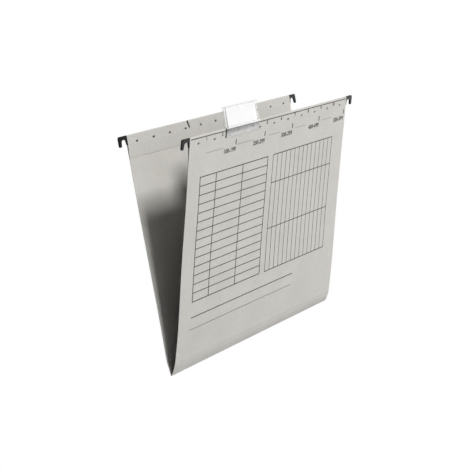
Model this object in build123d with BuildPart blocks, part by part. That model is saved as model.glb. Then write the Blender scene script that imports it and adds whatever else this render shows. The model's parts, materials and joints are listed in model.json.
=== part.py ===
"""Hanging file folder: two card panels on hooked rails, joined by a creased base, with a clip-on tab.

X runs along the rails, -Y is the front, +Z is up.
The origin is the centre of the four hook seats, so the folder hangs below the plane of the drawer's bars.
"""

import os
from math import asin, cos, radians, sin

from build123d import *

os.makedirs("parts", exist_ok=True)

# Pose of the open folder, in degrees
panel_tilt = 8.2
score_bend = 12.3

# Card
panel_width = 318.0
panel_height = 227.0
base_strip_height = 14.0
card_thickness = 0.35
fold_gap = 0.1
crease_clearance = 0.05

# Hem round the rail
hem_depth = 23.0
hem_jog_height = 2.0
hem_glue_thickness = 0.15
hem_glue_margin = 4.0
rail_clearance = 0.05

# Tab slots along the hem
slot_count = 11
slot_end_margin = 15.5
slot_length = 3.8
slot_height = 2.1
slot_depth = 7.6

# Slanted slit in the back hem
slit_width = 2.6
slit_height = 8.7
slit_offset = 53.0
slit_slant = 21.0

# Steel rails
rail_thickness = 0.8
rail_height = 9.0
tongue_height = 2.4
tongue_length = 10.0

# Hook ends
hook_reach = 13.4
hook_thickness = 1.8
hook_arm_height = 3.8
hook_drop = 10.4
prong_root_width = 4.6
prong_tip_width = 3.4
prong_tip_radius = 1.5
leg_root_width = 2.2
leg_tip_width = 0.7
leg_drop = 9.6
notch_radius = 2.6
hook_corner_radius = 2.2
hook_edge_radius = 0.35

# Clear tab over the front hem
tab_width = 64.0
tab_rise = 20.4
tab_skirt = 9.4
tab_knee_rise = 0.6
tab_lean = 14.0
tab_leaf_thickness = 0.5
tab_clearance = 0.1
tab_slot_index = 2
tab_offset = 8.4
nub_length = 2.8
nub_height = 1.2
nub_seat_gap = 0.15
nub_bite_share = 0.7

# Label card in the tab
label_width = 55.6
label_height = 19.0
label_thickness = 0.2
label_clearance = 0.1

# Extra reach of a cut past the card
cut_overrun = 2.0

# Worked-out sizes across the card, measured from the middle of the panel's thickness
half_card = card_thickness / 2
pocket = rail_thickness + 2 * rail_clearance
hem_outer_face = half_card
hem_inner_face = -(half_card + pocket + card_thickness)
rail_plane = -(half_card + pocket / 2)
hem_thickness = hem_outer_face - hem_inner_face

# Worked-out heights up the panel, measured from the score line
hem_top = panel_height
hem_crown = hem_top - pocket / 2 - card_thickness
rail_bottom = hem_crown - rail_height
hem_end = hem_top - hem_depth
slot_line = hem_top - slot_depth
seat_line = hem_top - hook_arm_height

# Worked-out place of the creases in the folder's own frame
base_tilt = panel_tilt + score_bend
fold_bead_radius = fold_gap / 2 + card_thickness
base_middle = fold_gap / 2 + half_card
score_y = base_middle * cos(radians(base_tilt)) + base_strip_height * sin(radians(base_tilt))
score_z = rail_plane * sin(radians(panel_tilt)) - seat_line * cos(radians(panel_tilt))
fold_z = score_z + base_middle * sin(radians(base_tilt)) - base_strip_height * cos(radians(base_tilt))

# Worked-out places along the rails
panel_end = panel_width / 2
slot_pitch = (panel_width - 2 * slot_end_margin) / (slot_count - 1)
slot_places = [slot_end_margin - panel_end + i * slot_pitch for i in range(slot_count)]
tab_slots = slot_places[tab_slot_index : tab_slot_index + 2]
tab_place = sum(tab_slots) / 2 + tab_offset

FRONT = -1
BACK = 1
sides = {"front": FRONT, "back": BACK}
ends = {"left": -1, "right": 1}


def section_plane(side, tilt, y, z, x=0):
    """Cross-section of one side: its own X points out of the folder, its own Y up the card."""
    outward = (0, side * cos(radians(tilt)), -sin(radians(tilt)))
    return Plane(origin=(x, side * y, z), x_dir=outward, z_dir=(side, 0, 0))


def panel_section(side, x=0):
    """Cross-section of a panel, from its score line."""
    return section_plane(side, panel_tilt, score_y, score_z, x)


def panel_face(side, outward=0):
    """Face view of a panel, from its score line, as far out of the card's middle as asked."""
    up = Vector(0, side * sin(radians(panel_tilt)), cos(radians(panel_tilt)))
    out = Vector(0, side * cos(radians(panel_tilt)), -sin(radians(panel_tilt)))
    origin = Vector(0, side * score_y, score_z) + out * outward
    return Plane(origin=origin, x_dir=(1, 0, 0), z_dir=Vector(1, 0, 0).cross(up))


def save(piece, name):
    piece.part.label = name
    export_step(piece.part, f"parts/{name}.step")


# Card panels: a leaf that turns over the rail and comes down inside as a hem
flap_glued_face = -(half_card + hem_glue_thickness)
for side_name, side in sides.items():
    with BuildPart() as panel:
        with BuildSketch(panel_section(side)):
            with BuildLine():
                leaf_outside = Line((hem_outer_face, 0), (hem_outer_face, hem_crown))
                crown_outside = ThreePointArc(
                    leaf_outside @ 1,
                    (rail_plane, hem_top),
                    (hem_inner_face, hem_crown),
                )
                flap = Polyline(
                    crown_outside @ 1,
                    (hem_inner_face, rail_bottom),
                    (flap_glued_face - card_thickness, rail_bottom - hem_jog_height),
                    (flap_glued_face - card_thickness, hem_end),
                    (flap_glued_face, hem_end),
                    (flap_glued_face, rail_bottom - hem_jog_height),
                    (-half_card - pocket, rail_bottom),
                    (-half_card - pocket, hem_crown),
                )
                crown_inside = ThreePointArc(
                    flap @ 1,
                    (rail_plane, hem_top - card_thickness),
                    (-half_card, hem_crown),
                )
                Polyline(crown_inside @ 1, (-half_card, 0), leaf_outside @ 0)
            make_face()
            Circle(half_card + crease_clearance, mode=Mode.SUBTRACT)
        extrude(amount=panel_end, both=True)
        with BuildSketch(panel_face(side)):
            with Locations([(place, slot_line) for place in slot_places]):
                SlotOverall(slot_length, slot_height)
            if side == BACK:
                with Locations((-slit_offset, hem_top)):
                    Rectangle(slit_width, 2 * slit_height, rotation=slit_slant)
        extrude(amount=hem_thickness + cut_overrun, both=True, mode=Mode.SUBTRACT)
    save(panel, f"{side_name}_panel")

# Base strips: the card between the bottom fold and each score line
for side_name, side in sides.items():
    with BuildPart() as base_strip:
        with BuildSketch(section_plane(side, base_tilt, 0, fold_z)):
            with Locations((base_middle, base_strip_height / 2)):
                Rectangle(card_thickness, base_strip_height)
            with Locations((base_middle, base_strip_height)):
                Circle(half_card)
            if side == BACK:
                Circle(fold_bead_radius)
            else:
                Circle(fold_bead_radius + crease_clearance, mode=Mode.SUBTRACT)
        extrude(amount=panel_end, both=True)
    save(base_strip, f"{side_name}_base_strip")

# Glue lines that hold each hem down below its rail
glue_top = rail_bottom - hem_jog_height
for side_name, side in sides.items():
    with BuildPart() as hem_glue:
        with BuildSketch(panel_section(side)):
            with Locations((-half_card, hem_end)):
                Rectangle(hem_glue_thickness, glue_top - hem_end, align=(Align.MAX, Align.MIN))
        extrude(amount=panel_end - hem_glue_margin, both=True)
    save(hem_glue, f"{side_name}_hem_glue")

# Rails: flat steel strips in the hems, with a narrow tongue at each end for the hook
tongue_line = hem_top - hook_arm_height / 2
for side_name, side in sides.items():
    with BuildPart() as rail:
        with BuildSketch(panel_face(side, rail_plane)):
            with Locations((0, hem_crown)):
                Rectangle(panel_width, rail_height, align=(Align.CENTER, Align.MAX))
            with Locations((0, tongue_line)):
                Rectangle(panel_width + 2 * tongue_length, tongue_height)
        extrude(amount=rail_thickness / 2, both=True)
    save(rail, f"{side_name}_rail")

# Hook ends: moulded round the rail's tongue, open downwards over the drawer's bar
for side_name, side in sides.items():
    for end_name, end in ends.items():
        root = end * panel_end
        tip = end * (panel_end + hook_reach)
        prong_root = tip - end * prong_root_width
        prong_tip = tip - end * prong_tip_width
        leg_root = root + end * leg_root_width
        outer_corner = (tip, hem_top)
        prong_corners = [(tip, hem_top - hook_drop), (prong_tip, hem_top - hook_drop)]
        notch_corners = [(prong_root, seat_line), (leg_root, seat_line)]
        with BuildPart() as hook:
            with BuildSketch(panel_face(side, rail_plane)) as hook_outline:
                with BuildLine():
                    Polyline(
                        (root, hem_top),
                        outer_corner,
                        *prong_corners,
                        *notch_corners,
                        (root + end * leg_tip_width, hem_top - leg_drop),
                        (root, hem_top - leg_drop),
                        close=True,
                    )
                make_face()
                corners = hook_outline.vertices()
                fillet(corners.sort_by_distance(outer_corner)[0], hook_corner_radius)
                for corner in prong_corners:
                    fillet(hook_outline.vertices().sort_by_distance(corner)[0], prong_tip_radius)
                for corner in notch_corners:
                    fillet(hook_outline.vertices().sort_by_distance(corner)[0], notch_radius)
            extrude(amount=hook_thickness / 2, both=True)
            rims = hook.faces().sort_by(Axis(panel_face(side).origin, panel_face(side).z_dir))
            rim_edges = rims[0].edges() + rims[-1].edges()
            fillet(rim_edges.filter_by(lambda e: abs(e.center().X - root) > leg_tip_width), hook_edge_radius)
            with BuildSketch(panel_face(side, rail_plane)):
                with Locations((root, tongue_line)):
                    Rectangle(2 * tongue_length, tongue_height)
            extrude(amount=rail_thickness / 2, both=True, mode=Mode.SUBTRACT)
        save(hook, f"{side_name}_{end_name}_hook")

# Clear tab: two leaves that meet at a ridge, with their skirts on either side of the front hem
ridge_gap = label_thickness + 2 * label_clearance
ridge_radius = ridge_gap / 2 + tab_leaf_thickness
knee_line = hem_top + tab_knee_rise
skirt_line = hem_top - tab_skirt
ridge_line = hem_top + tab_rise - ridge_radius
ridge_offset = (ridge_line - knee_line) * sin(radians(tab_lean)) / cos(radians(tab_lean))
ridge = Vector((hem_outer_face + hem_inner_face) / 2 - ridge_offset, ridge_line)


def leaf_wall(knee, turn):
    """Direction from the ridge down to a leaf's knee, along the face that touches the ridge's round."""
    to_knee = knee - ridge
    slack = asin(ridge_radius / to_knee.length)
    return to_knee.normalized().rotate(Axis.Z, turn * slack / radians(1))


front_skirt_face = hem_outer_face + tab_clearance + tab_leaf_thickness
back_skirt_face = hem_inner_face - tab_clearance - tab_leaf_thickness
front_knee = Vector(front_skirt_face, knee_line)
back_knee = Vector(back_skirt_face, knee_line)
front_wall = leaf_wall(front_knee, -1)
back_wall = leaf_wall(back_knee, 1)
front_shoulder = ridge + front_wall.rotate(Axis.Z, 90) * ridge_radius
back_shoulder = ridge + back_wall.rotate(Axis.Z, -90) * ridge_radius

with BuildPart() as tab_front_leaf:
    with BuildSketch(panel_section(FRONT, tab_place)):
        with BuildLine():
            Polyline((front_skirt_face, skirt_line), front_knee, front_shoulder)
            offset(amount=tab_leaf_thickness, side=Side.LEFT, kind=Kind.INTERSECTION)
        make_face()
        with Locations(ridge):
            Circle(ridge_radius)
    extrude(amount=tab_width / 2, both=True)
save(tab_front_leaf, "tab_front_leaf")

with BuildPart() as tab_back_leaf:
    with BuildSketch(panel_section(FRONT, tab_place)):
        with BuildLine():
            Polyline((back_skirt_face, skirt_line), back_knee, back_shoulder)
            offset(amount=tab_leaf_thickness, side=Side.RIGHT, kind=Kind.INTERSECTION)
        make_face()
        with Locations(ridge):
            Circle(ridge_radius + crease_clearance, mode=Mode.SUBTRACT)
    extrude(amount=tab_width / 2, both=True)
    nub_line = slot_line - slot_height / 2 + nub_seat_gap + nub_height / 2
    with BuildSketch(panel_face(FRONT, back_skirt_face + tab_leaf_thickness)):
        with Locations([(place, nub_line) for place in tab_slots]):
            SlotOverall(nub_length, nub_height)
    extrude(amount=tab_clearance + nub_bite_share * card_thickness)
save(tab_back_leaf, "tab_back_leaf")

# Label card: lies behind the front leaf, below the ridge
label_outward = front_wall.rotate(Axis.Z, 90)
label_front = ridge + label_outward * (label_thickness / 2)
label_top = label_front + front_wall * (ridge_radius + label_clearance)
label_bottom = label_top + front_wall * label_height
label_back = label_outward * label_thickness
with BuildPart() as label_insert:
    with BuildSketch(panel_section(FRONT, tab_place)):
        with BuildLine():
            Polyline(label_top, label_bottom, label_bottom - label_back, label_top - label_back, close=True)
        make_face()
    extrude(amount=label_width / 2, both=True)
save(label_insert, "label_insert")
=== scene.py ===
"""Looks of the hanging file folder: bowed grey card with printed tables, black hooks, clear tab and label.

Whatever lies on a panel is drawn flat in millimetres, x from the panel's left edge and y up from its
score line, and is then laid on the panel. Everything else is in metres, in the folder's own frame, unless
the heading over a value says millimetres.
"""

import json
from math import pi, radians

import bpy
from mathutils import Matrix, Quaternion, Vector


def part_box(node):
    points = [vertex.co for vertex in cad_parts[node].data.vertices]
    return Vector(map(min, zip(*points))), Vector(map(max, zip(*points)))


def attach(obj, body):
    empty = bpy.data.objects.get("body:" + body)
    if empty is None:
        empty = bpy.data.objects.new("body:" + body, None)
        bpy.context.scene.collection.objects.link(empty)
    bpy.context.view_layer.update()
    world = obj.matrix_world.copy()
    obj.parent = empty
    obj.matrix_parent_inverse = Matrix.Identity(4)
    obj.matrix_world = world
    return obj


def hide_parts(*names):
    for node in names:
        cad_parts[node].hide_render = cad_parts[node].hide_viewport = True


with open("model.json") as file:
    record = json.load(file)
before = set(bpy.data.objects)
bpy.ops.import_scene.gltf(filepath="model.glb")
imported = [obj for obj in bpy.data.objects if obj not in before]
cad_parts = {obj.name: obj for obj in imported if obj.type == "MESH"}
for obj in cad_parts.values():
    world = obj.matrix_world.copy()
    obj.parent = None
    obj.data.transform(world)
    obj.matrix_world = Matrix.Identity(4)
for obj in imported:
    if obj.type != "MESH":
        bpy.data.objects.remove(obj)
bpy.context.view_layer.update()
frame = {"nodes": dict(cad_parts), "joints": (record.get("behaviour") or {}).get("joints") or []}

MM = 0.001
nodes = frame["nodes"]
joints = {joint["name"]: joint for joint in frame["joints"]}
along = Vector((1, 0, 0))

# Mesh work, in millimetres: points this close are welded, and slivers this narrow are closed
weld_distance = 0.001
sliver_width = 0.005

# Faces that meet at less than this angle are shaded as one smooth surface
smooth_angle = radians(32)

# How finely the card is cut before it is bowed, in millimetres
panel_cut = 9.0
base_cut = 1.3

# Gentle bow of each panel, outward in millimetres: rows go up from the score line, and columns go
# across from the left edge
front_bow = [
    [0, 0.1, 0.4, 0.8],
    [1.5, 1.1, 1.1, 1.4],
    [1.0, 0.7, 0.7, 1.0],
    [0.5, 0.1, 0.2, 0.4],
    [0.2, -0.1, -0.1, 0],
    [0.5, 0.1, -0.1, 0],
    [0.6, 0.3, 0, -0.3],
    [0, 0, 0, 0],
    [0, 0, 0, 0],
]
back_bow = [
    [-0.8, -0.8, -0.6, -0.4],
    [-1.1, -1.0, -0.8, -0.5],
    [-1.1, -0.9, -0.7, -0.4],
    [-0.7, -0.5, -0.4, -0.2],
    [-0.4, -0.2, -0.1, 0],
    [-0.1, 0.1, 0.1, 0],
    [0, 0.1, 0.1, 0],
    [0, 0, 0, 0],
    [0, 0, 0, 0],
]

# Rounding of the base strips, outward in millimetres, up from the bottom fold
front_base_bow = [
    [0, 0, 0, 0],
    [0.4, 0.5, 0.8, 1.0],
    [0.6, 0.8, 1.1, 1.4],
    [0.5, 0.7, 0.9, 1.2],
    [0.1, 0.2, 0.5, 0.9],
]
back_base_bow = [
    [0, 0, 0, 0],
    [-0.2, -0.2, -0.15, -0.1],
    [-0.5, -0.5, -0.4, -0.2],
    [-0.8, -0.75, -0.6, -0.4],
    [-0.85, -0.85, -0.65, -0.4],
]

# The hem's flap: how far it eases off below its rail, as a share of its length, and how far its pressed
# end thins, in millimetres
flap_ease_share = 0.8
flap_end_thinning = 0.25

# The card's lip over the score line, in millimetres
score_lip = 0.4

# How near a corner of the card lies to count as on a line, the score edge or the outer face, in millimetres
near_line = 0.1
near_score = 0.2
near_face = 0.01

# Print on the front panel, in millimetres
ink_thickness = 0.06
ink_sink = 0.02
table_line = 0.85
frame_line = 0.95
column_line = 1.25
rule_line = 0.95
second_rule_line = 0.6
header_line = 0.4
tick_line = 1.6
left_table = {"left": 22.4, "right": 151.4, "bottom": 58.3, "top": 184.9}
left_table_columns = [51.6, 101.8]
left_table_rows = 14
right_table = {"left": 162.7, "right": 291.7, "bottom": 57.9, "top": 185.1}
right_table_rows = [105.0, 154.8]
right_table_columns = 14
title_rule = {"left": 21.6, "right": 224.0, "height": 41.9}
second_rule = {"left": 20.6, "right": 222.0, "height": 29.4}
header_height = 207.7
header_spans = [(30.7, 61.0), (87.0, 118.6), (150.0, 172.5), (206.0, 227.0), (264.0, 286.0)]
tick_places = [85.0, 141.6, 198.5, 257.0, 313.8]
tick_bottom = 208.0
tick_top = 213.2
# The dark line below the hem's top is painted shade along the hem's fold, drawn in ink: how far down, how
# far in from each side and how wide
hem_line_drop = 2.3
hem_line_margin = 2.0
hem_line = 0.9

# Printed numbers, a range at each tick and a count between the slots: sizes and places in millimetres
header_number_size = 6.2
header_number_spread = 1.12
header_number_height = 201.6
slot_number_size = 4.6
slot_number_spread = 1.0
slot_number_height = 220.6
first_slot_number_place = 29.75
slot_number_pitch = 28.7
slot_number_count = 10
number_boldness = 0.26
number_wall = 1.0
number_curve_steps = 3

# Edges of the tab's leaves: those flatter than one angle go, and those sharper than the other are softened
flat_angle = radians(0.5)
sharp_angle = radians(50)

# Clear tab, in millimetres
tab_bevel = 0.1
tab_bevel_steps = 2
tab_end_band = 1.9
# A dark line on the film beside the label, a painted shadow of the label's left edge: its width and its gap
# from the label
label_shadow_line = 0.8
label_shadow_line_gap = 0.1

# Film of the tab: each stop has a height in millimetres above the hem's top, a greyness and a cover
film_low = -10
film_high = 22
# Below the hem's top the skirt darkens from 4.6 to 0.9 mm down: a painted shadow of the label on the hem
skirt_stops = [
    (film_low, 0.7, 0.3),
    (-6.0, 0.65, 0.35),
    (-4.6, 0.25, 0.4),
    (-0.9, 0.3, 0.3),
    (-0.4, 0.88, 0.9),
]
pocket_stops = [
    (1.0, 0.85, 0.14),
    (18, 0.85, 0.14),
    (19.6, 0.6, 0.2),
    (film_high, 0.6, 0.25),
]
film_stops = [*skirt_stops, (0.6, 0.88, 0.5), *pocket_stops]
# Beside the label the film is dark above the knee: a painted shadow of the label's edge
label_shadow_line_stops = [*skirt_stops, (0.6, 0.1, 0.4), (film_high, 0.1, 0.4)]
# The film's left end: near black below the knee, its cut end with a painted shadow beside it, and pale above
# the knee
film_end_shade_stops = [
    (film_low, 0.04, 0.5),
    (-0.4, 0.03, 0.65),
    (0.8, 0.9, 0.45),
    (film_high, 0.85, 0.45),
]
back_film_stops = [
    (film_low, 0.8, 0.3),
    (-8.5, 0.85, 0.14),
    (-0.6, 0.85, 0.14),
    (-0.2, 0.88, 0.4),
    (0.6, 0.88, 0.4),
    *pocket_stops,
]

# Tones of the finishes, each a darker and a paler one, and the range that most of a noise keeps to
card_tones = (0.562, 0.545, 0.515), (0.598, 0.581, 0.55)
fibre_tones = (0.94, 0.94, 0.93), (1.02, 1.02, 1.02)
fleck_tones = (0.72, 0.7, 0.67), (1, 1, 1)
ink_tones = (0.022, 0.021, 0.021), (0.09, 0.088, 0.085)
pale_ink_tones = (0.11, 0.108, 0.105), (0.24, 0.235, 0.23)
hook_tones = (0.006, 0.0055, 0.0055), (0.011, 0.0105, 0.01)
rail_tones = (0.05, 0.05, 0.052), (0.1, 0.1, 0.104)
glue_tones = (0.55, 0.49, 0.34), (0.7, 0.65, 0.5)
label_tones = (0.86, 0.86, 0.85), (0.89, 0.89, 0.88)
noise_low = 0.3
noise_high = 0.7

# Fibres of the card and rolling marks of the rail: a small scale draws the pattern out along that axis, and
# the fibres lie in two layers, each turned its own way
fibre_scale = (1, 0.22, 0.22)
fibre_turns = (0.5, 2.1)
rolling_scale = (0.02, 1, 1)

# Camera, its lens in millimetres
camera_place = Vector((-1.33823, -0.82469, 0.20394))
camera_target = Vector((-0.02852, 0, -0.11869))
camera_roll = radians(-2.832)
camera_lens = 116.26

# Light, as the brightness that each lamp alone gives a white card that faces it
light_target = Vector((0, 0, -0.1))
key_direction = Vector((-0.08, -0.66, 0.75))
key_level = 1.06
key_distance = 2.5
key_size = 0.6
side_direction = Vector((1.2, -0.5, -0.2))
side_level = 0.17
side_distance = 0.8
side_size = 0.4
rear_direction = Vector((0.3, 0.95, -0.05))
rear_level = 0.6
rear_distance = 1.6
rear_size = 0.9
ambient_level = 0.064
ambient_tint = (0.82, 0.89, 1.0)

# Floor
floor_height = -0.6
floor_size = 12.0
floor_white = 0.9
floor_glow_near = 0.75
floor_glow_reach = (0.2, 0.55)


# Small helpers for modelling


def select_only(piece):
    bpy.ops.object.select_all(action="DESELECT")
    piece.select_set(True)
    bpy.context.view_layer.objects.active = piece


def enter_edit():
    bpy.ops.object.mode_set(mode="EDIT")


def leave_edit():
    bpy.ops.object.mode_set(mode="OBJECT")


def edit(piece):
    """Goes into edit mode on one piece, with all of it selected."""
    select_only(piece)
    enter_edit()
    bpy.ops.mesh.select_mode(type="FACE")
    bpy.ops.mesh.select_all(action="SELECT")


def close_up(piece, distance):
    """Merges the points of a piece that lie within a distance in millimetres."""
    edit(piece)
    bpy.ops.mesh.remove_doubles(threshold=distance * MM)
    leave_edit()


def slice_all(place, normal):
    """Cuts the whole mesh in edit mode along a plane, and keeps both sides."""
    bpy.ops.mesh.select_all(action="SELECT")
    bpy.ops.mesh.bisect(plane_co=place, plane_no=normal)


def pick_faces(piece, picked):
    """Selects the faces whose middle a test picks, from edit mode and back to it."""
    bpy.ops.mesh.select_all(action="DESELECT")
    leave_edit()
    for face in piece.data.polygons:
        face.select = picked(face.center)
    enter_edit()


def shift_corners(piece, to_plane, picked, step):
    """Moves the corners whose place on a drawing plane a test picks, from edit mode and back to it."""
    bpy.ops.mesh.select_mode(type="VERT")
    bpy.ops.mesh.select_all(action="DESELECT")
    leave_edit()
    for vertex in piece.data.vertices:
        vertex.select = picked(to_plane @ vertex.co)
    enter_edit()
    bpy.ops.transform.translate(value=step)
    bpy.ops.mesh.select_mode(type="FACE")


def apply_modifiers(piece):
    select_only(piece)
    for modifier in list(piece.modifiers):
        bpy.ops.object.modifier_apply(modifier=modifier.name)


def copy_of(node, name):
    """A new piece with a welded copy of a solid's mesh, shaded by its own faces."""
    piece = bpy.data.objects.new(name, nodes[node].data.copy())
    bpy.context.collection.objects.link(piece)
    close_up(piece, weld_distance)
    bpy.ops.mesh.customdata_custom_splitnormals_clear()
    return piece


def reach(node, start, direction):
    """How far a solid reaches from a point along a direction."""
    return max((vertex.co - start).dot(direction) for vertex in nodes[node].data.vertices)


def lay(piece, placement):
    """Lays a flat drawing in its place, and leaves its object at the origin."""
    piece.matrix_world = placement
    select_only(piece)
    bpy.ops.object.transform_apply(location=True, rotation=True, scale=True)


def dress(piece, material, body, *replaced, slot=None):
    """Gives a piece its only finish, and the body that it moves with."""
    piece.data.materials.clear()
    piece.data.materials.append(material)
    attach(piece, body)
    if replaced:
        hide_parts(*replaced)


# Panels: the drawing planes of their outer faces


def drawing_plane(node, up, out, start):
    """Places a drawing in millimetres on a card's outer face, up from a crease."""
    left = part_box(node)[0].x
    face = reach(node, start, out)
    origin = Vector((left, start.y, start.z)) + out * face
    axes = Matrix((along, up, out)).transposed() * MM
    return Matrix.Translation(origin) @ axes.to_4x4()


front_score = Vector(joints["front_score_fold"]["pos_m"])
back_score = Vector(joints["back_score_fold"]["pos_m"])
bottom_fold = Vector(joints["bottom_fold"]["pos_m"])
front_up = Vector(joints["tab_lift"]["axis"])
back_up = Vector((0, -front_up.y, front_up.z))
front_out = along.cross(front_up)
back_out = back_up.cross(along)
front_plane = drawing_plane("front_panel", front_up, front_out, front_score)
back_plane = drawing_plane("back_panel", back_up, back_out, back_score)
panel_width = (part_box("front_panel")[1].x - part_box("front_panel")[0].x) / MM
hem_top = reach("front_panel", front_score, front_up) / MM


# Finishes


def finish_called(name):
    """A new finish: its material, its node tree and its surface shader."""
    material = bpy.data.materials.new(name)
    material.use_nodes = True
    tree = material.node_tree
    return material, tree, tree.nodes["Principled BSDF"]


def object_place(tree, scale=(1, 1, 1), turn=(0, 0, 0)):
    """The place on the piece in metres, scaled and turned."""
    coordinates = tree.nodes.new("ShaderNodeTexCoord")
    mapping = tree.nodes.new("ShaderNodeMapping")
    mapping.inputs["Scale"].default_value = scale
    mapping.inputs["Rotation"].default_value = turn
    tree.links.new(coordinates.outputs["Object"], mapping.inputs["Vector"])
    return mapping.outputs["Vector"]


def noise(tree, place, scale, detail=4.0, roughness=0.55):
    """An uneven pattern, finer for a larger scale."""
    texture = tree.nodes.new("ShaderNodeTexNoise")
    texture.inputs["Scale"].default_value = scale
    texture.inputs["Detail"].default_value = detail
    texture.inputs["Roughness"].default_value = roughness
    tree.links.new(place, texture.inputs["Vector"])
    return texture.outputs["Fac"]


def ramp(tree, value, stops):
    """Tones that follow a value from stop to stop."""
    blend = tree.nodes.new("ShaderNodeValToRGB")
    elements = blend.color_ramp.elements
    while len(elements) < len(stops):
        elements.new(1)
    for element, (position, tone) in zip(elements, stops):
        element.position = position
        element.color = (*tone, 1)
    tree.links.new(value, blend.inputs["Fac"])
    return blend.outputs["Color"]


def two_tones(tree, value, tones, low=noise_low, high=noise_high):
    """A darker and a paler tone, mixed as a noise says."""
    dark, pale = tones
    return ramp(tree, value, [(low, dark), (high, pale)])


def between(tree, value, low, high, low_value, high_value):
    """A number that follows a value from one range to another, and stops at the ends."""
    span = tree.nodes.new("ShaderNodeMapRange")
    span.inputs["From Min"].default_value = low
    span.inputs["From Max"].default_value = high
    span.inputs["To Min"].default_value = low_value
    span.inputs["To Max"].default_value = high_value
    tree.links.new(value, span.inputs["Value"])
    return span.outputs["Result"]


def multiply(tree, first, second):
    """One tone laid over another, as fibres and flecks darken card."""
    mix = tree.nodes.new("ShaderNodeMix")
    mix.data_type = "RGBA"
    mix.blend_type = "MULTIPLY"
    mix.inputs["Factor"].default_value = 1
    tree.links.new(first, mix.inputs["A"])
    tree.links.new(second, mix.inputs["B"])
    return mix.outputs["Result"]


def colour(tree, shader, tone):
    """Gives the surface its tone."""
    tree.links.new(tone, shader.inputs["Base Color"])


def vary_roughness(tree, shader, value, smooth, dull):
    """Makes the surface smoother or duller as a noise says."""
    roughness = between(tree, value, noise_low, noise_high, smooth, dull)
    tree.links.new(roughness, shader.inputs["Roughness"])


def roughen(tree, shader, height, strength, depth):
    """Raises a fine relief on the surface, its depth in millimetres."""
    bump = tree.nodes.new("ShaderNodeBump")
    bump.inputs["Strength"].default_value = strength
    bump.inputs["Distance"].default_value = depth * MM
    tree.links.new(height, bump.inputs["Height"])
    tree.links.new(bump.outputs["Normal"], shader.inputs["Normal"])


def recycled_card():
    """Grey recycled card: cloudy tone, short fibres, sparse dark flecks and a soft tooth."""
    material, tree, shader = finish_called("recycled_card")
    place = object_place(tree)
    clouds = noise(tree, place, scale=30, detail=3)
    tone = two_tones(tree, clouds, card_tones)
    for turn in fibre_turns:
        fibre_place = object_place(tree, fibre_scale, (turn, turn, turn))
        fibres = noise(tree, fibre_place, scale=1900, detail=3)
        tone = multiply(tree, tone, two_tones(tree, fibres, fibre_tones, low=0.36, high=0.62))
    flecks = noise(tree, place, scale=700, detail=1)
    tone = multiply(tree, tone, two_tones(tree, flecks, fleck_tones, low=0.23, high=0.27))
    colour(tree, shader, tone)
    tooth = noise(tree, place, scale=1900, detail=5, roughness=0.65)
    vary_roughness(tree, shader, tooth, smooth=0.84, dull=0.96)
    roughen(tree, shader, tooth, strength=0.25, depth=0.1)
    shader.inputs["Specular IOR Level"].default_value = 0.2
    return material


def printing_ink(name, tones):
    """Offset ink on card: the fibres show through where it is thin."""
    material, tree, shader = finish_called(name)
    cover = noise(tree, object_place(tree), scale=2200, detail=4, roughness=0.7)
    colour(tree, shader, two_tones(tree, cover, tones, low=0.45, high=0.75))
    vary_roughness(tree, shader, cover, smooth=0.55, dull=0.8)
    shader.inputs["Specular IOR Level"].default_value = 0.3
    return material


def black_plastic():
    """Black moulded plastic with a fine spark-eroded grain."""
    material, tree, shader = finish_called("black_plastic")
    place = object_place(tree)
    flow = noise(tree, place, scale=160, detail=3)
    colour(tree, shader, two_tones(tree, flow, hook_tones))
    grain = noise(tree, place, scale=5200, detail=2)
    vary_roughness(tree, shader, grain, smooth=0.42, dull=0.58)
    roughen(tree, shader, grain, strength=0.25, depth=0.04)
    shader.inputs["Specular IOR Level"].default_value = 0.14
    return material


def lacquered_steel():
    """Dark lacquered strip with fine rolling marks along its length."""
    material, tree, shader = finish_called("lacquered_steel")
    marks = noise(tree, object_place(tree, rolling_scale), scale=3500, detail=4)
    colour(tree, shader, two_tones(tree, marks, rail_tones, low=0.35, high=0.65))
    vary_roughness(tree, shader, marks, smooth=0.3, dull=0.5)
    shader.inputs["Metallic"].default_value = 0.4
    return material


def dried_glue():
    """Yellowed glue with a faint uneven shine."""
    material, tree, shader = finish_called("dried_glue")
    pools = noise(tree, object_place(tree), scale=240, detail=3)
    colour(tree, shader, two_tones(tree, pools, glue_tones, low=0.35, high=0.65))
    vary_roughness(tree, shader, pools, smooth=0.3, dull=0.55)
    return material


def film_level(tree, place):
    """How high a point of the tab is, from nought at the lowest stop to one at the highest."""
    rise = tree.nodes.new("ShaderNodeVectorMath")
    rise.operation = "DOT_PRODUCT"
    rise.inputs[1].default_value = front_up
    tree.links.new(place, rise.inputs[0])
    hem_rise = front_score.dot(front_up) + hem_top * MM
    low = hem_rise + film_low * MM
    high = hem_rise + film_high * MM
    return between(tree, rise.outputs["Value"], low, high, 0, 1)


def tab_film(name, stops, smooth, dull, shine):
    """Clear film whose greyness and cover change with height."""
    material, tree, shader = finish_called(name)
    place = object_place(tree)
    level = film_level(tree, place)
    tones = []
    covers = []
    for height, grey, cover in stops:
        share = (height - film_low) / (film_high - film_low)
        tones.append((share, (grey, grey, grey)))
        covers.append((share, (cover, cover, cover)))
    colour(tree, shader, ramp(tree, level, tones))
    tree.links.new(ramp(tree, level, covers), shader.inputs["Alpha"])
    haze = noise(tree, place, scale=240, detail=3)
    vary_roughness(tree, shader, haze, smooth, dull)
    shader.inputs["IOR"].default_value = 1.49
    shader.inputs["Specular IOR Level"].default_value = shine
    return material


def label_paper():
    """Smooth white label paper."""
    material, tree, shader = finish_called("label_paper")
    place = object_place(tree)
    clouds = noise(tree, place, scale=120, detail=4)
    colour(tree, shader, two_tones(tree, clouds, label_tones))
    tooth = noise(tree, place, scale=2600, detail=4)
    vary_roughness(tree, shader, tooth, smooth=0.6, dull=0.75)
    roughen(tree, shader, tooth, strength=0.15, depth=0.05)
    return material


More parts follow.
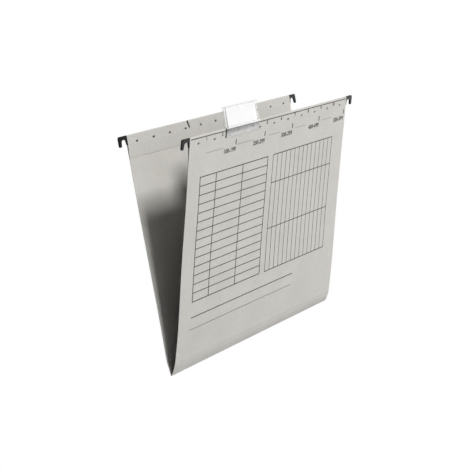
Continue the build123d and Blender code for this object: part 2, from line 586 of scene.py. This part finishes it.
card_finish = recycled_card()
ink_finish = printing_ink("printing_ink", ink_tones)
pale_ink_finish = printing_ink("pale_printing_ink", pale_ink_tones)
hook_finish = black_plastic()
rail_finish = lacquered_steel()
glue_finish = dried_glue()
film_finish = tab_film("clear_film", film_stops, smooth=0.08, dull=0.2, shine=0.5)
film_end_shade_finish = tab_film("film_end_shade", film_end_shade_stops, smooth=0.4, dull=0.6, shine=0.15)
label_shadow_line_finish = tab_film("label_shadow_line", label_shadow_line_stops, smooth=0.4, dull=0.6, shine=0.15)
back_film_finish = tab_film("clear_back_film", back_film_stops, smooth=0.08, dull=0.2, shine=0.5)
label_finish = label_paper()


# Bowed card panels and rounded base strips


def bow_cage(plane, height, bow):
    """A cage of control points on a sheet of card, pushed in and out as the bow says."""
    bpy.ops.object.add(type="LATTICE")
    cage = bpy.context.object
    cage.data.points_u = len(bow[0])
    cage.data.points_v = len(bow)
    cage.data.points_w = 2
    cage.data.interpolation_type_w = "KEY_LINEAR"
    cage.matrix_world = (
        plane
        @ Matrix.Translation((panel_width / 2, height / 2, 0))
        @ Matrix.Diagonal((panel_width, height, 1, 1))
    )
    for index, point in enumerate(cage.data.points):
        column = index % cage.data.points_u
        row = index // cage.data.points_u % cage.data.points_v
        point.co_deform.z += bow[row][column]
    return cage


def bend(piece, cage):
    """Bows a piece that lies on a sheet of card."""
    modifier = piece.modifiers.new("bow", "LATTICE")
    modifier.object = cage
    apply_modifiers(piece)


def slice_across(plane, width, pitch):
    """Cuts what is in edit mode into upright bands."""
    normal = (plane.to_3x3() @ along).normalized()
    for column in range(1, int(width / pitch) + 1):
        slice_all(plane @ Vector((column * pitch, 0, 0)), normal)


def slice_up(plane, height, pitch):
    """Cuts what is in edit mode into level bands."""
    normal = (plane.to_3x3() @ Vector((0, 1, 0))).normalized()
    for row in range(1, int(height / pitch) + 1):
        slice_all(plane @ Vector((0, row * pitch, 0)), normal)


def finish_card(card, cage, body, node):
    """Closes up the slivers that the cuts left, bows the card and dresses it."""
    close_up(card, sliver_width)
    bend(card, cage)
    select_only(card)
    bpy.ops.object.shade_smooth_by_angle(angle=smooth_angle)
    dress(card, card_finish, body, node, slot="card")


def bowed_panel(side, plane, cage):
    """A card panel: its flap eased off below the rail, its foot lipped over the score line, then bowed."""
    node = f"{side}_panel"
    glue = f"{side}_hem_glue"
    card = copy_of(node, f"{side}_card")
    to_plane = plane.inverted()
    up = (plane.to_3x3() @ Vector((0, 1, 0))).normalized()
    out = (plane.to_3x3() @ Vector((0, 0, 1))).normalized()
    start = plane.translation
    glue_face = -reach(glue, start, -out) / MM
    flap_fold = reach(glue, start, up) / MM
    flap_end = -reach(glue, start, -up) / MM
    edit(card)
    shift_corners(
        card,
        to_plane,
        lambda spot: abs(spot.y - flap_fold) < near_line and spot.z < -near_line,
        up * (flap_end - flap_fold) * flap_ease_share * MM,
    )
    shift_corners(
        card,
        to_plane,
        lambda spot: abs(spot.y - flap_end) < near_line and spot.z < glue_face - near_line,
        out * flap_end_thinning * MM,
    )
    shift_corners(
        card,
        to_plane,
        lambda spot: spot.y < near_score and abs(spot.z) < near_face,
        -up * score_lip * MM,
    )
    slice_across(plane, panel_width, panel_cut)
    slice_up(plane, hem_top, panel_cut)
    leave_edit()
    finish_card(card, cage, f"{side}_cover", node)


def rounded_base(side, score, facing, bow):
    """A base strip that curves from its panel into the bottom fold; facing is 1 in front and -1 behind."""
    node = f"{side}_base_strip"
    up = (score - bottom_fold).normalized()
    out = along.cross(up) * facing
    plane = drawing_plane(node, up, out, bottom_fold)
    height = (score - bottom_fold).length / MM
    strip = copy_of(node, f"{side}_base_card")
    edit(strip)
    slice_across(plane, panel_width, panel_cut)
    slice_up(plane, height, base_cut)
    leave_edit()
    cage = bow_cage(plane, height, bow)
    finish_card(strip, cage, f"{side}_base", node)
    bpy.data.objects.remove(cage)


front_cage = bow_cage(front_plane, hem_top, front_bow)
back_cage = bow_cage(back_plane, hem_top, back_bow)
bowed_panel("front", front_plane, front_cage)
bowed_panel("back", back_plane, back_cage)
rounded_base("front", front_score, 1, front_base_bow)
rounded_base("back", back_score, -1, back_base_bow)


# Print on the front panel


def add_bar(left, right, bottom, top):
    """Adds one flat bar to the drawing in edit mode."""
    middle = Vector(((left + right) / 2, (bottom + top) / 2, -ink_sink))
    bpy.ops.mesh.select_all(action="DESELECT")
    bpy.ops.mesh.primitive_plane_add(size=1, location=middle)
    bpy.ops.transform.resize(value=(right - left, top - bottom, 1), center_override=middle)


def new_drawing(name):
    """An empty drawing, in edit mode."""
    drawing = bpy.data.objects.new(name, bpy.data.meshes.new(name))
    bpy.context.collection.objects.link(drawing)
    edit(drawing)
    return drawing


def print_on_front(drawing, material):
    """Cuts a flat drawing so that it can bow, gives it the thickness of ink and lays it on the front."""
    edit(drawing)
    slice_across(Matrix(), panel_width, panel_cut)
    slice_up(Matrix(), hem_top, panel_cut)
    leave_edit()
    ink = drawing.modifiers.new("ink", "SOLIDIFY")
    ink.thickness = ink_thickness
    ink.offset = 1
    apply_modifiers(drawing)
    lay(drawing, front_plane)
    bend(drawing, front_cage)
    dress(drawing, material, "front_cover")


def ruled_table(name, edges, column_lines, row_lines):
    """A sheet cut along its lines, whose cells are inset and taken out so that lines and frame stay."""
    table = new_drawing(name)
    half = table_line / 2
    rim = frame_line - half
    left, right, bottom, top = (edges[edge] for edge in ("left", "right", "bottom", "top"))
    add_bar(left - rim, right + rim, bottom - rim, top + rim)
    for place in (left, *column_lines, right):
        slice_all((place, 0, 0), (1, 0, 0))
    for height in (bottom, *row_lines, top):
        slice_all((0, height, 0), (0, 1, 0))
    pick_faces(table, lambda middle: left < middle.x < right and bottom < middle.y < top)
    bpy.ops.mesh.inset(thickness=half, use_individual=True)
    bpy.ops.mesh.delete(type="FACE")
    leave_edit()
    print_on_front(table, ink_finish)


def even_lines(low, high, count):
    """Where lines lie that divide a span into a count of equal parts."""
    return [low + (high - low) * step / count for step in range(1, count)]


def print_bars(name, bars, material):
    """Flat bars of ink, each given by its left, right, bottom and top."""
    drawing = new_drawing(name)
    for bar in bars:
        add_bar(*bar)
    leave_edit()
    print_on_front(drawing, material)


def level_bar(left, right, height, width):
    return (left, right, height - width / 2, height + width / 2)


def upright_bar(place, width, bottom, top):
    return (place - width / 2, place + width / 2, bottom, top)


ruled_table(
    "left_table_print",
    left_table,
    left_table_columns,
    even_lines(left_table["bottom"], left_table["top"], left_table_rows),
)
ruled_table(
    "right_table_print",
    right_table,
    even_lines(right_table["left"], right_table["right"], right_table_columns),
    right_table_rows,
)
print_bars(
    "left_column_print",
    [
        upright_bar(place, column_line, left_table["bottom"], left_table["top"])
        for place in (left_table["left"], *left_table_columns, left_table["right"])
    ],
    ink_finish,
)
print_bars(
    "title_rule_print",
    [level_bar(title_rule["left"], title_rule["right"], title_rule["height"], rule_line)],
    ink_finish,
)
print_bars(
    "second_rule_print",
    [level_bar(second_rule["left"], second_rule["right"], second_rule["height"], second_rule_line)],
    pale_ink_finish,
)
print_bars(
    "header_line_print",
    [level_bar(left, right, header_height, header_line) for left, right in header_spans],
    pale_ink_finish,
)
print_bars(
    "header_tick_print",
    [upright_bar(place, tick_line, tick_bottom, tick_top) for place in tick_places],
    ink_finish,
)
# Painted shade along the hem's fold, as a dark line of ink below the hem's top
print_bars(
    "hem_fold_shade",
    [level_bar(hem_line_margin, panel_width - hem_line_margin, hem_top - hem_line_drop, hem_line)],
    ink_finish,
)


def typed_number(text, size, spread, align):
    """A number as a bold mesh with a wall, drawn flat at the origin."""
    bpy.ops.object.select_all(action="DESELECT")
    bpy.ops.object.text_add()
    number = bpy.context.object
    number.data.body = text
    number.data.size = size
    number.data.space_character = spread
    number.data.align_x = align
    number.data.bevel_depth = number_boldness
    number.data.bevel_resolution = 0
    number.data.resolution_u = number_curve_steps
    number.data.extrude = number_wall
    bpy.ops.object.convert(target="MESH")
    return number


def print_numbers(name, numbers, size, spread, align):
    """Plain numbers as raised ink: each is typed, flattened and laid in its place, then all are joined."""
    half_ink = ink_thickness / 2
    flatten = Matrix.Diagonal((1, 1, half_ink / (number_wall + number_boldness), 1))
    made = []
    for text, place, height in numbers:
        number = typed_number(text, size, spread, align)
        lay(number, front_plane @ Matrix.Translation((place, height, half_ink - ink_sink)) @ flatten)
        made.append(number)
    bpy.ops.object.select_all(action="DESELECT")
    for number in made:
        number.select_set(True)
    bpy.context.view_layer.objects.active = made[0]
    bpy.ops.object.join()
    piece = bpy.context.object
    piece.name = name
    close_up(piece, weld_distance)
    bend(piece, front_cage)
    dress(piece, ink_finish, "front_cover")


print_numbers(
    "header_numbers_print",
    [(f"{index}00-{index}99", place, header_number_height) for index, place in enumerate(tick_places, 1)],
    header_number_size,
    header_number_spread,
    "RIGHT",
)
print_numbers(
    "slot_numbers_print",
    [
        (str(index + 1), first_slot_number_place + index * slot_number_pitch, slot_number_height)
        for index in range(slot_number_count)
    ],
    slot_number_size,
    slot_number_spread,
    "CENTER",
)


# Clear tab


def clear_leaf(node, name, material, body):
    """A leaf of the tab with softened edges."""
    leaf = copy_of(node, name)
    edit(leaf)
    bpy.ops.mesh.dissolve_limited(angle_limit=flat_angle)
    bpy.ops.mesh.select_mode(type="EDGE")
    bpy.ops.mesh.select_all(action="DESELECT")
    bpy.ops.mesh.edges_select_sharp(sharpness=sharp_angle)
    bpy.ops.mesh.bevel(offset=tab_bevel * MM, segments=tab_bevel_steps, affect="EDGES")
    leave_edit()
    close_up(leaf, sliver_width)
    bpy.ops.object.shade_smooth_by_angle(angle=smooth_angle)
    dress(leaf, material, body, node, slot="clear_plastic")
    return leaf


def mark_front_film(leaf):
    """Gives the front leaf a dull dark left end, the cut end with a painted shadow below the knee, and a
    dark line beside the label, a painted shadow of the label's edge.
    """
    end_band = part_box("tab_front_leaf")[0].x + tab_end_band * MM
    line_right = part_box("label_insert")[0].x - label_shadow_line_gap * MM
    line_left = line_right - label_shadow_line * MM
    edit(leaf)
    for place in (end_band, line_left, line_right):
        slice_all((place, 0, 0), along)
    leave_edit()
    leaf.data.materials.append(film_end_shade_finish)
    leaf.data.materials.append(label_shadow_line_finish)
    finishes = list(leaf.data.materials)
    for face in leaf.data.polygons:
        if face.center.x < end_band:
            face.material_index = finishes.index(film_end_shade_finish)
        elif line_left < face.center.x < line_right:
            face.material_index = finishes.index(label_shadow_line_finish)


front_film = clear_leaf("tab_front_leaf", "tab_front_film", film_finish, "tab")
mark_front_film(front_film)
clear_leaf("tab_back_leaf", "tab_back_film", back_film_finish, "tab_back")


# Solids that keep their own shape get their finish


def refinish(node, material):
    nodes[node].data.materials.clear()
    nodes[node].data.materials.append(material)


for side in ("front", "back"):
    refinish(f"{side}_rail", rail_finish)
    refinish(f"{side}_hem_glue", glue_finish)
    for end in ("left", "right"):
        refinish(f"{side}_{end}_hook", hook_finish)
refinish("label_insert", label_finish)
for cage in (front_cage, back_cage):
    bpy.data.objects.remove(cage)


# Floor, world, lamps and camera


def seen_straight(tree):
    """One for a ray from the camera, or one mirrored or passed through to it, else nought."""
    path = tree.nodes.new("ShaderNodeLightPath")
    total = path.outputs["Is Camera Ray"]
    for name in ("Is Glossy Ray", "Is Transmission Ray"):
        larger = tree.nodes.new("ShaderNodeMath")
        larger.operation = "MAXIMUM"
        tree.links.new(total, larger.inputs[0])
        tree.links.new(path.outputs[name], larger.inputs[1])
        total = larger.outputs["Value"]
    return total


def floor_finish():
    """Matt white that glows white where the camera sees it, less so under the folder, to keep its shadow."""
    material = bpy.data.materials.new("white_floor")
    material.use_nodes = True
    tree = material.node_tree
    tree.nodes.clear()
    matt = tree.nodes.new("ShaderNodeBsdfDiffuse")
    matt.inputs["Color"].default_value = (floor_white, floor_white, floor_white, 1)
    glow = tree.nodes.new("ShaderNodeEmission")
    away = tree.nodes.new("ShaderNodeVectorMath")
    away.operation = "LENGTH"
    tree.links.new(object_place(tree), away.inputs[0])
    glow_share = between(tree, away.outputs["Value"], *floor_glow_reach, floor_glow_near, 1)
    seen_glow = tree.nodes.new("ShaderNodeMath")
    seen_glow.operation = "MULTIPLY"
    tree.links.new(seen_straight(tree), seen_glow.inputs[0])
    tree.links.new(glow_share, seen_glow.inputs[1])
    mix = tree.nodes.new("ShaderNodeMixShader")
    tree.links.new(seen_glow.outputs["Value"], mix.inputs["Fac"])
    tree.links.new(matt.outputs["BSDF"], mix.inputs[1])
    tree.links.new(glow.outputs["Emission"], mix.inputs[2])
    output = tree.nodes.new("ShaderNodeOutputMaterial")
    tree.links.new(mix.outputs["Shader"], output.inputs["Surface"])
    return material


def white_floor():
    """A white floor that meets the white world without a line."""
    bpy.ops.object.select_all(action="DESELECT")
    bpy.ops.mesh.primitive_plane_add(size=floor_size, location=(0, 0, floor_height))
    floor = bpy.context.object
    floor.name = "floor"
    floor.data.materials.append(floor_finish())


def white_world():
    """Soft, slightly cool light from all round, from a world that looks white itself."""
    world = bpy.data.worlds.new("studio")
    bpy.context.scene.world = world
    world.use_nodes = True
    tree = world.node_tree
    ambient = tree.nodes["Background"]
    ambient.inputs["Color"].default_value = (*ambient_tint, 1)
    ambient.inputs["Strength"].default_value = ambient_level
    backdrop = tree.nodes.new("ShaderNodeBackground")
    backdrop.inputs["Color"].default_value = (1, 1, 1, 1)
    mix = tree.nodes.new("ShaderNodeMixShader")
    tree.links.new(seen_straight(tree), mix.inputs["Fac"])
    tree.links.new(ambient.outputs["Background"], mix.inputs[1])
    tree.links.new(backdrop.outputs["Background"], mix.inputs[2])
    tree.links.new(mix.outputs["Shader"], tree.nodes["World Output"].inputs["Surface"])


def softbox(name, direction, level, distance, size):
    """A square lamp that gives a white card facing it the asked brightness."""
    lamp = bpy.data.lights.new(name, "AREA")
    lamp.size = size
    lamp.energy = level * pi**2 * distance**2
    holder = bpy.data.objects.new(name, lamp)
    bpy.context.collection.objects.link(holder)
    holder.location = light_target + direction.normalized() * distance
    holder.rotation_euler = (-direction).to_track_quat("-Z", "Y").to_euler()


def photo_camera():
    """The camera at the photograph's viewing angle."""
    camera = bpy.data.cameras.new("camera")
    camera.lens = camera_lens
    holder = bpy.data.objects.new("camera", camera)
    bpy.context.collection.objects.link(holder)
    aim = (camera_target - camera_place).to_track_quat("-Z", "Y")
    holder.location = camera_place
    holder.rotation_euler = (aim @ Quaternion((0, 0, 1), camera_roll)).to_euler()
    bpy.context.scene.camera = holder


white_floor()
white_world()
softbox("key_lamp", key_direction, key_level, key_distance, key_size)
softbox("side_lamp", side_direction, side_level, side_distance, side_size)
softbox("rear_lamp", rear_direction, rear_level, rear_distance, rear_size)
photo_camera()
bpy.context.scene.view_settings.view_transform = "Standard"
